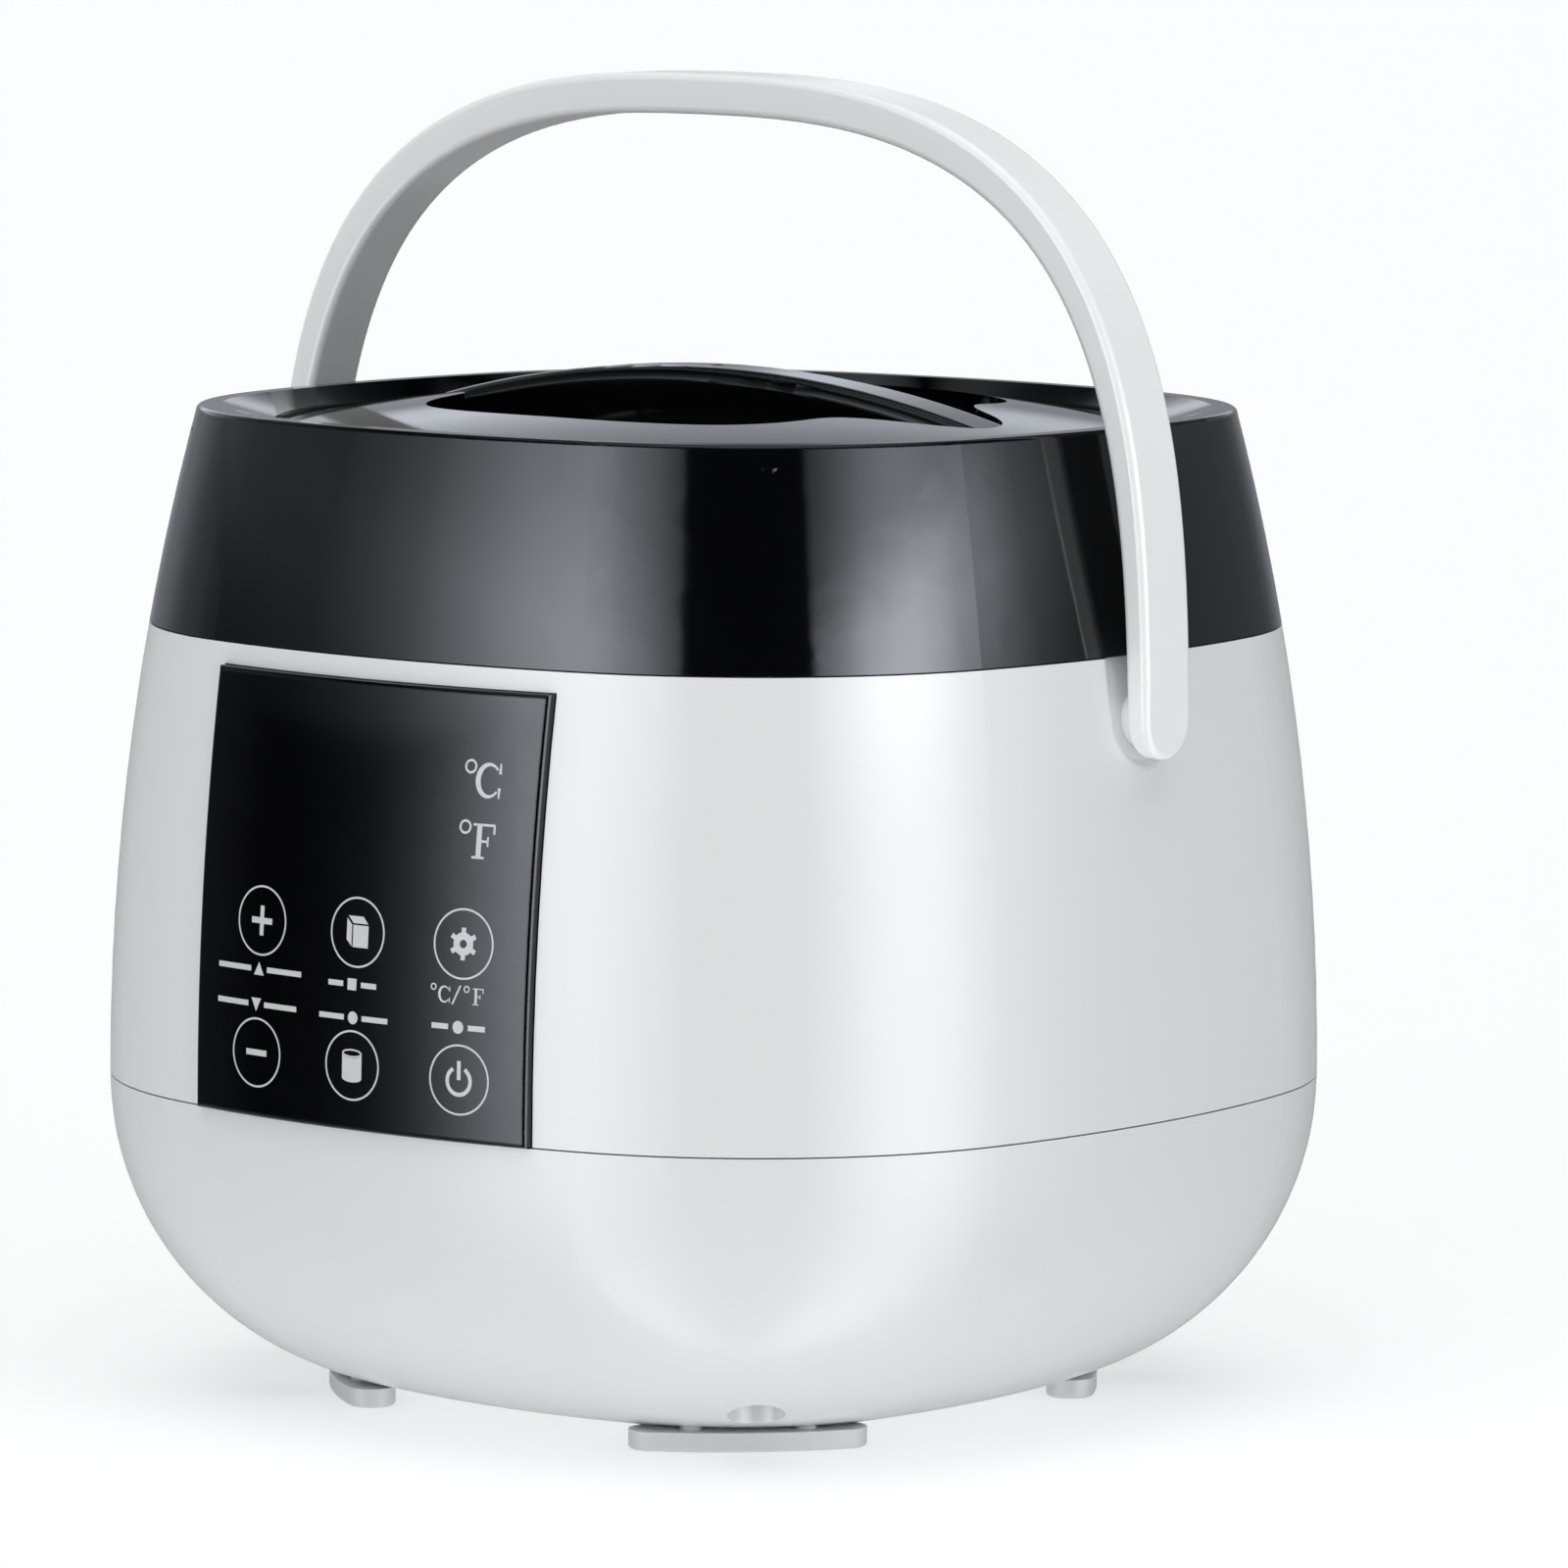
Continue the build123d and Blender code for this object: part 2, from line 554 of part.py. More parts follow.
def make_handle():
    """Carrying handle: an arched band with round leg ends and a pivot boss inside each leg."""
    outer = arch_side(0)
    inner = arch_side(1)
    edges = [Spline(*outer), Line(outer[-1], inner[-1]), Spline(*reversed(inner)), Line(inner[0], outer[0])]
    band = across(Plane.XZ * make_face(edges), HANDLE_WIDTH / 2)
    ends = Pos(0, 0, PIVOT_Z) * Rot(0, 90, 0) * Cylinder(HANDLE_WIDTH / 2, 2 * FAR)
    keep = ends + block((-FAR, FAR), (-HANDLE_WIDTH, HANDLE_WIDTH), (PIVOT_Z, 2 * FAR))
    handle = band & keep
    handle = fillet(handle.edges(), HANDLE_EDGE)
    leg_x = HANDLE_HALF - HANDLE_LEG_THICK + 1
    for side in (1, -1):
        boss = Rot(0, 90, 0) * Cylinder(PIVOT_RADIUS, leg_x - PIVOT_END_X)
        handle += Pos(side * (leg_x + PIVOT_END_X) / 2, 0, PIVOT_Z) * boss
        handle -= Pos(side * PIVOT_END_X, 0, PIVOT_Z) * Rot(0, 90, 0) * Cylinder(1.55, 12)
    return handle


def make_pivot_washer(side):
    """Retaining washer on the inner end of one pivot boss."""
    washer = Cylinder(8.0, 1.2) - Cylinder(1.6, 3)
    return Pos(side * (PIVOT_END_X - 0.6), 0, PIVOT_Z) * Rot(0, 90, 0) * washer


def make_pivot_screw(side):
    """Screw that holds one retaining washer."""
    return Pos(side * (PIVOT_END_X - 1.2), 0, PIVOT_Z) * Rot(0, side * 90, 0) * screw(1.5, 6, 3.0, 2.2)


# ---- Pot, shield and heater ---------------------------------------------------------------

def make_inner_pot():
    """Aluminium wax pot with a rounded bottom edge and a rolled rim that hangs on the ledge."""
    flange_z = LEDGE_Z + 0.2
    outer = cylinder(POT_RADIUS, POT_BOTTOM_Z, flange_z + 1)
    outer = fillet(outer.edges().group_by(Axis.Z)[0], POT_CORNER)
    inner = cylinder(POT_RADIUS - POT_WALL, POT_BOTTOM_Z + POT_WALL, flange_z + 5)
    inner = fillet(inner.edges().group_by(Axis.Z)[0], POT_CORNER - POT_WALL)
    pot = outer + tube(POT_RIM_RADIUS, POT_RADIUS - POT_WALL, flange_z, flange_z + 1.2) - inner
    roll = Pos(0, 0, flange_z + 1.5) * Torus(POT_RIM_RADIUS - 0.2, 1.5)
    return pot + roll


def make_heat_shield():
    """Steel cup round the pot, with a flange that is screwed under the ring's ledge."""
    low = SHIELD_BOTTOM_Z
    shield = cylinder(SHIELD_RADIUS, low, SHIELD_FLANGE_Z)
    shield = fillet(shield.edges().group_by(Axis.Z)[0], 5)
    shield += cylinder(SHIELD_FLANGE_RADIUS, SHIELD_FLANGE_Z, SHIELD_FLANGE_Z + SHIELD_WALL)
    inner = cylinder(SHIELD_RADIUS - SHIELD_WALL, low + SHIELD_WALL, SHIELD_FLANGE_Z + 5)
    shield -= fillet(inner.edges().group_by(Axis.Z)[0], 5 - SHIELD_WALL)
    shield -= around(CORNER_ANGLES, SHIELD_SCREW_RADIUS, 0, cylinder(1.7, SHIELD_FLANGE_Z - 1, LEDGE_Z))
    shield -= around(POST_ANGLES, POST_RADIUS_FROM_AXIS, 0, cylinder(2.1, low - 1, low + 2))
    shield -= around(TERMINAL_ANGLES, ELEMENT_RING_RADIUS, 0, cylinder(3.5, low - 1, low + 2))
    shield -= around((0, 180), 6, 0, cylinder(1.2, low - 1, low + 2))
    return shield


def element_tube(radius):
    """C-shaped tube under the heater plate."""
    ring = Torus(ELEMENT_RING_RADIUS, radius)
    half = math.tan(math.radians(ELEMENT_GAP_DEG / 2)) * FAR
    wedge = make_face(Polyline((0, 0), (FAR, -half), (FAR, half), (0, 0)))
    cut = extrude(wedge, 10, both=True)
    return Pos(0, 0, ELEMENT_Z) * (ring - cut)


def make_heater_element():
    """Tubular element with two terminals that pass through the shield's bottom."""
    pins = around(TERMINAL_ANGLES, ELEMENT_RING_RADIUS, 0, cylinder(1.6, TERMINAL_LOW_Z, ELEMENT_Z))
    return element_tube(ELEMENT_TUBE_RADIUS) + pins


def make_heater_plate():
    """Cast plate under the pot, with a bore for the sensor and a groove for the element."""
    plate = tube(PLATE_RADIUS, PLATE_BORE, PLATE_TOP_Z - PLATE_THICK, PLATE_TOP_Z)
    plate = chamfer(plate.edges().group_by(Axis.Z)[-1], 0.8)
    plate -= Pos(0, 0, ELEMENT_Z) * Torus(ELEMENT_RING_RADIUS, ELEMENT_TUBE_RADIUS + 0.05)
    low = PLATE_TOP_Z - PLATE_THICK
    return plate - around(POST_ANGLES, POST_RADIUS_FROM_AXIS, 0, cylinder(2.05, low - 1, low + 4.5))


def make_heater_posts():
    """Three spacers between the shield's bottom and the heater plate."""
    post = tube(4.0, 2.1, SHIELD_BOTTOM_Z + SHIELD_WALL, PLATE_TOP_Z - PLATE_THICK)
    return around(POST_ANGLES, POST_RADIUS_FROM_AXIS, 0, post)


def make_sensor_cap():
    """Thermostat cap that the pot presses down."""
    cap = cylinder(SENSOR_CAP_RADIUS, SENSOR_CAP_LOW_Z, PLATE_TOP_Z)
    cap = fillet(cap.edges().group_by(Axis.Z)[-1], 1.0)
    return cap - cylinder(SENSOR_CAP_RADIUS - 0.9, SENSOR_CAP_LOW_Z - 1, PLATE_TOP_Z - 1)


def make_sensor_guide():
    """Fixed cup inside the cap that holds the spring."""
    low = SHIELD_BOTTOM_Z + SHIELD_WALL
    guide = cylinder(SENSOR_GUIDE_RADIUS, low, low + 7)
    guide -= cylinder(SENSOR_GUIDE_RADIUS - 0.8, low + 0.8, low + 9)
    return guide - around((0, 180), 6, 0, cylinder(1.2, low - 1, low + 2))


def make_thermal_fuse():
    """Cut-out clamped under the shield's bottom: a round body in a saddle clip."""
    z = SHIELD_BOTTOM_Z - 4.6
    body = Pos(0, 24, z) * Rot(0, 90, 0) * Cylinder(4.5, 22)
    clip = block((-5, 5), (15, 33), (z + 0.5, SHIELD_BOTTOM_Z - 0.05))
    caps = [Pos(x, 24, z) * Rot(0, 90, 0) * Cylinder(1.2, 8) for x in (-14, 14)]
    return body + clip + caps


def base_bracket():
    """Stepped steel bracket from the shield's bottom out to one base column, along +X."""
    top = block((50, 67.5), (-7, 7), (SHIELD_BOTTOM_Z - 1.5, SHIELD_BOTTOM_Z))
    riser = block((66, 67.5), (-7, 7), (COLUMN_TOP_Z, SHIELD_BOTTOM_Z))
    tab = block((66, COLUMN_FROM_AXIS + 6), (-7, 7), (COLUMN_TOP_Z, COLUMN_TOP_Z + 1.5))
    return top + riser + tab - Pos(COLUMN_FROM_AXIS, 0, 0) * cylinder(2.05, 40, 60)


# ---- Electrical parts ---------------------------------------------------------------------

def make_power_board():
    """Mains board on four posts in the bowl."""
    board = Pos(0, 0, BOARD_Z + BOARD_THICK / 2) * Box(2 * BOARD_HALF_X, 2 * BOARD_HALF_Y, BOARD_THICK)
    board = fillet(board.edges().filter_by(Axis.Z), 2)
    for x in (-BOARD_HOLE_X, BOARD_HOLE_X):
        for y in (-BOARD_HOLE_Y, BOARD_HOLE_Y):
            board -= Pos(x, y, BOARD_Z) * Cylinder(1.7, 10)
    return board


def make_power_relay():
    """Sealed relay on the mains board."""
    low = BOARD_Z + BOARD_THICK
    case = block((-27, -12), (-16, 3), (low, low + 15.5))
    return fillet(case.edges().group_by(Axis.Z)[-1], 1.0)


def make_power_capacitor():
    """Film capacitor on the mains board."""
    low = BOARD_Z + BOARD_THICK
    case = block((-28, -2), (8, 18), (low, low + 17))
    return fillet(case.edges().filter_by(Axis.Z), 1.2)


def make_power_transformer():
    """Small transformer: a laminated core with its bobbin."""
    low = BOARD_Z + BOARD_THICK
    core = block((2, 30), (-8, 10), (low + 3, low + 24))
    core -= block((7, 12), (-9, 11), (low + 7, low + 20))
    core -= block((20, 25), (-9, 11), (low + 7, low + 20))
    bobbin = block((7.2, 24.8), (-13, 15), (low + 7.2, low + 19.8))
    pins = [Pos(x, y, 0) * cylinder(0.6, low, low + 8) for x in (9, 23) for y in (-11, 13)]
    return core + bobbin + pins


def make_display_board():
    """Upright board behind the control panel."""
    board = block((-DISPLAY_BOARD_HALF, DISPLAY_BOARD_HALF), (DISPLAY_BOARD_Y, DISPLAY_BOARD_Y + BOARD_THICK),
                  (DISPLAY_BOARD_LOW_Z, DISPLAY_BOARD_HIGH_Z))
    board = fillet(board.edges().filter_by(Axis.Y), 2)
    for x in (-DISPLAY_POST_X, DISPLAY_POST_X):
        for z in DISPLAY_POST_Z:
            board -= Pos(x, DISPLAY_BOARD_Y, z) * Rot(90, 0, 0) * Cylinder(1.35, 8)
    return board


def make_led_display():
    """Three-digit display module with sunk digit fields."""
    front_y = DISPLAY_BOARD_Y - 4.0
    module = block((-30, 18), (front_y, DISPLAY_BOARD_Y), (110, 131))
    for number in range(3):
        x = -28.5 + 15.5 * number
        module -= block((x, x + 13.5), (front_y - 1, front_y + 0.4), (112, 129))
    return module


def panel_back_y(x, z):
    """Depth of the control panel's back face at a place on it."""
    half = body_half(z) - (PANEL_THICK - PANEL_PROUD)
    radius = half * SIDE_RADIUS_RATIO
    return -(half * DEPTH_RATIO - radius + math.sqrt(radius ** 2 - x ** 2))


def make_touch_springs():
    """Six contact springs between the display board and the control panel."""
    springs = []
    for x in KEY_X:
        for z in KEY_Z:
            length = DISPLAY_BOARD_Y - panel_back_y(x, z) - 1.0
            spring = coil(3.6, 0.35, 0, length, 4)
            springs.append(Pos(x, DISPLAY_BOARD_Y, z) * Rot(90, 0, 0) * spring)
    return springs


def make_power_inlet():
    """Recessed appliance inlet: screwed flange and a deep socket with two bevelled corners."""
    width, height, thick = INLET_FLANGE
    inner_width, inner_height, depth = INLET_SOCKET
    flange = extrude(RectangleRounded(width, height, 3), thick)
    case = extrude(Rectangle(inner_width + 2 * INLET_WALL, inner_height + 2 * INLET_WALL), -depth - 2)
    socket = Rectangle(inner_width, inner_height)
    socket = chamfer(socket.vertices().group_by(Axis.Y)[-1], 4)
    cavity = Pos(0, 0, -depth) * extrude(socket, depth + 5)
    inlet = flange + case - cavity
    for x in (-INLET_SCREW_X, INLET_SCREW_X):
        inlet -= Pos(x, 0, 0) * Cylinder(1.7, 10)
    for x, y in PIN_PLACES:
        inlet -= Pos(x, y, -depth) * Box(PIN_SIZE[0] + 0.1, PIN_SIZE[1] + 0.1, 8)
    return Pos(0, INLET_FACE_Y, INLET_Z) * Rot(-90, 0, 0) * Rot(0, 0, 180) * inlet


def make_inlet_pins():
    """Three flat contact pins in the inlet, with solder tabs behind it."""
    depth = INLET_SOCKET[2]
    pins = []
    for x, y in PIN_PLACES:
        pin = Pos(x, y, -depth + 4) * Box(PIN_SIZE[0], PIN_SIZE[1], 20)
        pin = chamfer(pin.edges().group_by(Axis.Z)[-1], 0.5)
        pins.append(Pos(0, INLET_FACE_Y, INLET_Z) * Rot(-90, 0, 0) * Rot(0, 0, 180) * pin)
    return pins


def make_mains_leads():
    """Two insulated wires from the inlet's tabs down to the mains board."""
    leads = []
    tab_y = INLET_FACE_Y - INLET_SOCKET[2] - 4.5
    tab_z = INLET_Z - 4.1
    for x in (-7, 7):
        low = BOARD_Z + BOARD_THICK + 0.3
        points = [(x, tab_y, tab_z), (x, tab_y, 50), (x * 1.3, 60, 38), (x * 1.5, 26, 28), (x * 1.5, 24, low)]
        leads.append(lead(points, 1.1, 4))
    return leads


def make_heater_leads():
    """Two insulated wires from the element's terminals down to the mains board."""
    leads = []
    for side, angle in zip((-1, 1), TERMINAL_ANGLES):
        x = ELEMENT_RING_RADIUS * math.cos(math.radians(angle))
        y = ELEMENT_RING_RADIUS * math.sin(math.radians(angle))
        start = (x, y, TERMINAL_LOW_Z - 0.3)
        end = (34, side * 16, BOARD_Z + BOARD_THICK + 0.3)
        points = [start, (x, y, 36), (34, side * 20, 28), end]
        leads.append(lead(points, 1.1, 3))
    return leads


# ---- Assembly -----------------------------------------------------------------------------

def cross(x, y, z, shape):
    """Four copies of a shape at plus and minus x and y."""
    return [Pos(sx * x, sy * y, z) * shape for sx in (-1, 1) for sy in (-1, 1)]


def board_screws():
    """Four screws from above in the mains board."""
    one = Rot(180, 0, 0) * screw(1.5, 7, 2.8, 2.0)
    return cross(BOARD_HOLE_X, BOARD_HOLE_Y, BOARD_Z + BOARD_THICK, one)


def base_screws():
    """Four screws from below, through the base columns into the brackets."""
    return around(CORNER_ANGLES, COLUMN_FROM_AXIS, COLUMN_TOP_Z - COLUMN_WEB, screw(2.0, 10, 3.5, 2.4))


def display_screws():
    """Four screws from behind the display board."""
    one = Rot(90, 0, 0) * screw(1.0, 4, 2.2, 1.6)
    y = DISPLAY_BOARD_Y + BOARD_THICK
    return [Pos(x, y, z) * one for x in (-DISPLAY_POST_X, DISPLAY_POST_X) for z in DISPLAY_POST_Z]


def inlet_screws():
    """Two screws in the inlet's flange, driven from behind the unit."""
    y = INLET_FACE_Y + INLET_FLANGE[2]
    one = Rot(90, 0, 0) * screw(1.5, 8, 2.8, 1.8)
    return [Pos(x, y, INLET_Z) * one for x in (-INLET_SCREW_X, INLET_SCREW_X)]


def lid_screws():
    """Two screws that hold the liner to the cover."""
    return [Pos(x, 0, LINER_Z) * screw(1.5, 8, 2.8, 1.6) for x in (-LINER_SCREW_X, LINER_SCREW_X)]


parts = {
    "base_shell": make_base_shell(),
    "foot_pads": make_foot_pads(),
    "body_shell": make_body_shell(),
    "top_ring": make_top_ring(),
    "control_panel": make_panel(),
    "lid_cover": make_lid_cover(),
    "lid_liner": make_lid_liner(),
    "lid_seal": make_lid_seal(),
    "lid_screws": lid_screws(),
    "handle": make_handle(),
    "pivot_washer_right": make_pivot_washer(1),
    "pivot_washer_left": make_pivot_washer(-1),
    "pivot_screw_right": make_pivot_screw(1),
    "pivot_screw_left": make_pivot_screw(-1),
    "inner_pot": make_inner_pot(),
    "heat_shield": make_heat_shield(),
    "heater_plate": make_heater_plate(),
    "heater_element": make_heater_element(),
    "heater_posts": make_heater_posts(),
    "heater_screws": around(POST_ANGLES, POST_RADIUS_FROM_AXIS, SHIELD_BOTTOM_Z, screw(2.0, 12, 3.6, 2.4)),
    "sensor_cap": make_sensor_cap(),
    "sensor_guide": make_sensor_guide(),
    "sensor_spring": coil(6.5, 0.5, SHIELD_BOTTOM_Z + SHIELD_WALL + 0.85, PLATE_TOP_Z - 1.05, 5),
    "thermal_fuse": make_thermal_fuse(),
    "base_brackets": [Rot(0, 0, angle) * base_bracket() for angle in CORNER_ANGLES],
    "base_screws": base_screws(),
    "ring_screws": around(CORNER_ANGLES, 94, RING_SEAM_Z - 3.1, screw(1.5, 12, 2.8, 2.0)),
    "shield_screws": around(CORNER_ANGLES, SHIELD_SCREW_RADIUS, SHIELD_FLANGE_Z, screw(1.5, 4.5, 2.8, 1.8)),
    "power_board": make_power_board(),
    "power_relay": make_power_relay(),
    "power_capacitor": make_power_capacitor(),
    "power_transformer": make_power_transformer(),
    "board_screws": board_screws(),
    "display_board": make_display_board(),
    "led_display": make_led_display(),
    "touch_springs": make_touch_springs(),
    "display_screws": display_screws(),
    "power_inlet": make_power_inlet(),
    "inlet_pins": make_inlet_pins(),
    "inlet_screws": inlet_screws(),
    "mains_leads": make_mains_leads(),
    "heater_leads": make_heater_leads(),
}

os.makedirs("parts", exist_ok=True)
for name, shape in parts.items():
    whole = Compound(children=shape) if isinstance(shape, list) else shape
    export_step(whole, f"parts/{name}.step")
    print(name, "volume", round(whole.volume, 1))
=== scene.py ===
import json
import math

import bpy
from mathutils import Matrix, Vector


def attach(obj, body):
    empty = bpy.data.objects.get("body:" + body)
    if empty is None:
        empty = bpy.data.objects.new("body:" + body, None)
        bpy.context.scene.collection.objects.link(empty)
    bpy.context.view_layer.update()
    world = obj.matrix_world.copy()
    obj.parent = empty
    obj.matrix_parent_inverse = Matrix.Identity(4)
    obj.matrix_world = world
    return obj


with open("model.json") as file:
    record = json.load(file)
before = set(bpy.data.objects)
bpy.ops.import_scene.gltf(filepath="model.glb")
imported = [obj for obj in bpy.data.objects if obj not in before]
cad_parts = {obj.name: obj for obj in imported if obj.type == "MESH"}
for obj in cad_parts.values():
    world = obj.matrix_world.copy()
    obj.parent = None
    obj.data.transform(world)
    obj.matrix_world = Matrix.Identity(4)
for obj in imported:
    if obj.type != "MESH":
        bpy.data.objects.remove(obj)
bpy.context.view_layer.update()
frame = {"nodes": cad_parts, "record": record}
nodes = frame["nodes"]
scene = bpy.context.scene
scene.view_settings.view_transform = "Standard"


# ---- Camera -------------------------------------------------------------------------------

def turned(first, second, angle):
    """Two square directions, the first turned towards the second by an angle."""
    cosine, sine = math.cos(angle), math.sin(angle)
    return first * cosine + second * sine, second * cosine - first * sine


def place_camera(azimuth, elevation, distance, aim_z, pan, tilt, roll, lens):
    """Camera at a compass angle from the front, aimed at a point on the axis, then turned a little."""
    azimuth, elevation, pan, tilt, roll = map(math.radians, (azimuth, elevation, pan, tilt, roll))
    away = Vector((math.sin(azimuth) * math.cos(elevation), -math.cos(azimuth) * math.cos(elevation),
                   math.sin(elevation)))
    ahead = -away
    right = ahead.cross(Vector((0, 0, 1))).normalized()
    up = right.cross(ahead)
    ahead, right = turned(ahead, right, pan)
    ahead, up = turned(ahead, up, tilt)
    right, up = turned(right, up, roll)
    camera = bpy.data.objects.new("camera", bpy.data.cameras.new("camera"))
    camera.data.lens = lens
    camera.data.sensor_width = 36
    camera.data.clip_end = 50
    turn = Matrix((right, up, -ahead)).transposed().to_4x4()
    camera.matrix_world = Matrix.Translation(away * distance + Vector((0, 0, aim_z))) @ turn
    scene.collection.objects.link(camera)
    scene.camera = camera


place_camera(azimuth=39.47, elevation=8.17, distance=1.83645, aim_z=0.06, pan=0.40, tilt=1.67, roll=0.24,
             lens=224.37)


# ---- Node helpers -------------------------------------------------------------------------

def socket(tree, target, value):
    """Set a socket to a number, or link it to another socket."""
    if isinstance(value, bpy.types.NodeSocket):
        tree.links.new(value, target)
    else:
        target.default_value = value


def math_node(tree, operation, *values, clamp=False):
    """One math node with sockets or numbers as inputs."""
    node = tree.nodes.new("ShaderNodeMath")
    node.operation = operation
    node.use_clamp = clamp
    for number, value in enumerate(values):
        socket(tree, node.inputs[number], value)
    return node.outputs[0]


def span(tree, value, low, high, out_low=0.0, out_high=1.0):
    """Value mapped from one range to another, kept inside it."""
    node = tree.nodes.new("ShaderNodeMapRange")
    names = ("Value", "From Min", "From Max", "To Min", "To Max")
    for name, number in zip(names, (value, low, high, out_low, out_high)):
        socket(tree, node.inputs[name], number)
    return node.outputs[0]


def curve_node(tree, table, low, high, top, source):
    """Value read from a table of (place, value) between two places, none over top."""
    curve = tree.nodes.new("ShaderNodeFloatCurve")
    points = curve.mapping.curves[0].points
    for number, (place, value) in enumerate(table):
        spot = ((place - low) / (high - low), value / top)
        if number < 2:
            points[number].location = spot
        else:
            points.new(*spot)
    for point in points:
        point.handle_type = "VECTOR"
    curve.mapping.update()
    tree.links.new(span(tree, source, low, high), curve.inputs["Value"])
    return math_node(tree, "MULTIPLY", curve.outputs[0], top)


def mixed(tree, factor, first, second):
    """Colour between two colours or colour sockets."""
    node = tree.nodes.new("ShaderNodeMix")
    node.data_type = "RGBA"
    tree.links.new(factor, node.inputs["Factor"])
    for name, value in (("A", first), ("B", second)):
        target = next(item for item in node.inputs if item.name == name and item.type == "RGBA")
        socket(tree, target, value if isinstance(value, bpy.types.NodeSocket) else tuple(value) + (1,))
    return next(item for item in node.outputs if item.type == "RGBA")


# ---- Light --------------------------------------------------------------------------------

# Studio that glossy surfaces mirror: degrees from the front towards +X, radiance
STUDIO = (
    (-180, 0.22), (-170, 0.3), (-160, 0.53), (-150, 0.72), (-140, 0.85), (-130, 0.92), (-120, 0.9),
    (-110, 0.8), (-100, 0.56), (-90, 0.4), (-80, 0.34), (-70, 0.28), (-62, 0.24), (-52, 0.26), (-45, 0.5),
    (-38, 0.95), (-30, 2.2), (-22, 3.9), (-15, 4.9), (-8, 4.2), (0, 3.2), (8, 2.3), (14, 1.4), (17, 0.9),
    (18.5, 0), (59.5, 0), (61, 1.2), (66, 1.9), (72, 3.0), (80, 4.8), (88, 5.6), (96, 5.6), (104, 4.6),
    (112, 3.2), (120, 2.0), (128, 0.6), (136, 0.2), (144, 0.18), (152, 0.28), (164, 0.28), (180, 0.22),
)
STUDIO_TOP = 6.0
LEFT_HEIGHTS = (
    (-90, 0.5), (-40, 0.6), (-10, 0.9), (0, 1.0), (8, 1.05), (12, 1.35), (15, 1.15), (19, 0.86), (22, 0.74),
    (34, 0.4), (46, 0.0), (90, 0.0),
)
RIGHT_HEIGHTS = (
    (-90, 0.5), (-40, 0.6), (-10, 0.95), (0, 1.05), (8, 1.1), (12, 1.75), (15, 1.6), (17, 1.05), (19, 0.68),
    (22, 0.54), (34, 0.35), (46, 0.0), (90, 0.0),
)
# Floor below the horizon and the ceiling, the same all round
STUDIO_LEVELS = ((-90, 0.5), (-50, 0.3), (-16, 0.02), (0, 0), (48, 0), (64, 0.6), (90, 1.2))
# Light that matt surfaces gather
FILL = (
    (-180, 0.0), (-110, 0.0), (-40, 0.02), (-22, 0.2), (-6, 1.05), (16, 1.15), (34, 0.5), (60, 0.36),
    (78, 0.95), (98, 1.15), (108, 0.2), (120, 0.0), (180, 0.0),
)
FILL_HEIGHTS = ((-90, 0), (-2, 0), (0, 1), (50, 1), (60, 0.3), (90, 0))
FILL_OVERHEAD = ((-90, 0), (50, 0), (62, 2.0), (90, 2.6))
STUDIO_TINT = (0.95, 1.0, 1.09)
FILL_TINT = (1.0, 1.0, 1.004)
GAP_MIDDLE = 39
# Share of the studio left close to the horizon, and the heights between which it comes back
LOW_SHADE = (
    (-180, 0.9), (-166, 0.7), (-150, 0.4), (-116, 0.4), (-100, 0.7), (-78, 0.8), (-62, 0.3), (-54, 0.03),
    (-46, 0.05), (-39, 0.13), (-33, 0.3), (-27, 0.65), (-20, 1), (180, 0.9),
)
SHADE_HEIGHTS = (4, 9)


